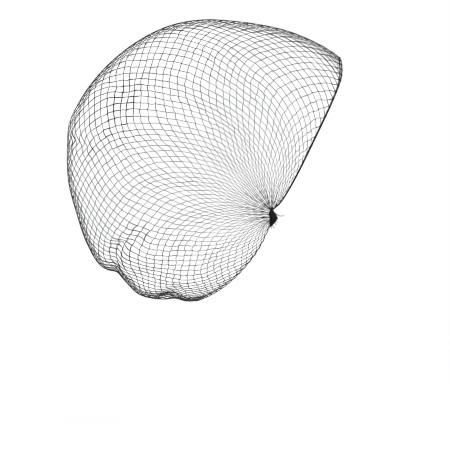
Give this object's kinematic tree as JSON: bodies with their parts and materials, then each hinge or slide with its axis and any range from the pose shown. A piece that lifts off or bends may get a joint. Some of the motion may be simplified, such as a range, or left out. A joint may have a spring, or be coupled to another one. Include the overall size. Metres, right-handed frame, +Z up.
{
  "type": "hairnet",
  "caption": "Fine black mesh hairnet in its worn form: a bag of diamond mesh gathered to a tied bunch at each ear, with an elastic along the front edge and a cord along the nape edge.",
  "frame": {"origin": "on the middle line, on the inner side of the crown, where the net rests on the wearer's head", "axes": "+X toward the wearer's face, +Y toward the wearer's left, +Z up"},
  "size_m": [0.2261, 0.1715, 0.2317],
  "materials": {
    "net_thread": "fine black nylon thread with a slight sheen",
    "edge_elastic": "black covered elastic, twisted",
    "tied_thread": "black thread, tightly bunched and tied"
  },
  "bodies": {
    "root": {"net_bag": "net_thread", "front_elastic": "edge_elastic", "nape_elastic": "edge_elastic", "ear_gather_right": "tied_thread", "ear_gather_left": "tied_thread"}
  },
  "joints": []
}
